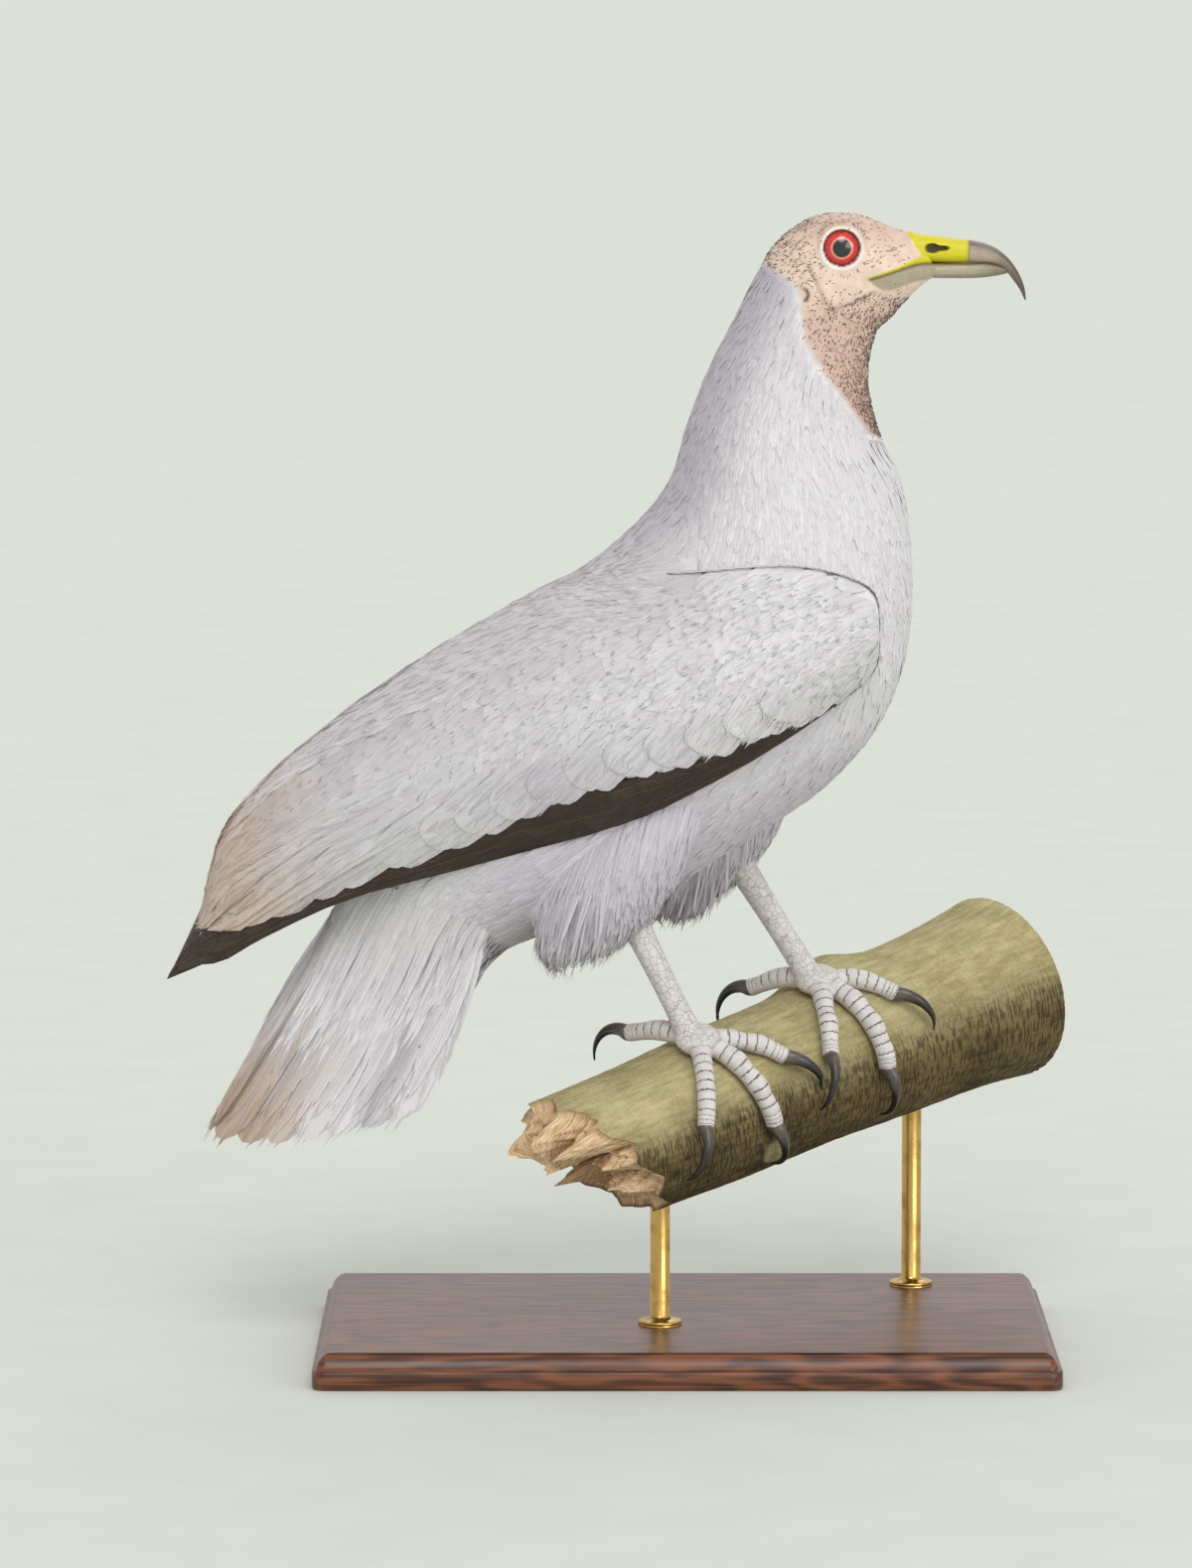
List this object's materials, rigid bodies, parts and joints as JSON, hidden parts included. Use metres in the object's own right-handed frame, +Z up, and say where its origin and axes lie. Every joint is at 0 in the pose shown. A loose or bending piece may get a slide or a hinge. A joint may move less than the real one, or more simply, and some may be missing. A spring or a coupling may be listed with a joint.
{
  "type": "egyptian vulture model on perch",
  "caption": "Life-size still model of an adult Egyptian vulture, white with dark flight feathers, standing on a broken branch over a plain display stand.",
  "frame": {"origin": "centre of the stand base's underside", "axes": "+Z up, +X the way the bird faces, +Y to the bird's left"},
  "size_m": [0.4593, 0.2858, 0.5743],
  "materials": {
    "plumage": "soft matt white feathers with a lilac-grey shade",
    "facial_skin": "bare flesh-pink skin, satin",
    "cere": "smooth yellow skin, satin",
    "horn": "grey-brown horn, semi-gloss",
    "eye": "red iris and black pupil under a clear gloss surface",
    "flight_feathers": "matt brown-black feathers",
    "leg_skin": "pale grey scaled skin, matt",
    "claw": "dark grey horn, semi-gloss",
    "bark": "rough olive-brown bark, torn pale wood at the broken end",
    "stand_wood": "dark varnished wood, satin",
    "stand_metal": "plain satin brass"
  },
  "bodies": {
    "root": {"trunk": "plumage", "neck": "plumage", "head": "facial_skin", "eye_right": "eye", "eye_left": "eye", "cere": "cere", "bill_upper": "horn", "bill_lower": "horn", "wing_right": "plumage", "wing_left": "plumage", "flight_feathers_right": "flight_feathers", "flight_feathers_left": "flight_feathers", "tail": "plumage", "thigh_right": "plumage", "thigh_left": "plumage", "shank_right": "leg_skin", "shank_left": "leg_skin", "middle_toe_right": "leg_skin", "middle_toe_claw_right": "claw", "inner_toe_right": "leg_skin", "inner_toe_claw_right": "claw", "outer_toe_right": "leg_skin", "outer_toe_claw_right": "claw", "hind_toe_right": "leg_skin", "hind_toe_claw_right": "claw", "middle_toe_left": "leg_skin", "middle_toe_claw_left": "claw", "inner_toe_left": "leg_skin", "inner_toe_claw_left": "claw", "outer_toe_left": "leg_skin", "outer_toe_claw_left": "claw", "hind_toe_left": "leg_skin", "hind_toe_claw_left": "claw", "perch_branch": "bark", "stand_base": "stand_wood", "stand_rod_front": "stand_metal", "stand_rod_rear": "stand_metal"}
  },
  "joints": []
}
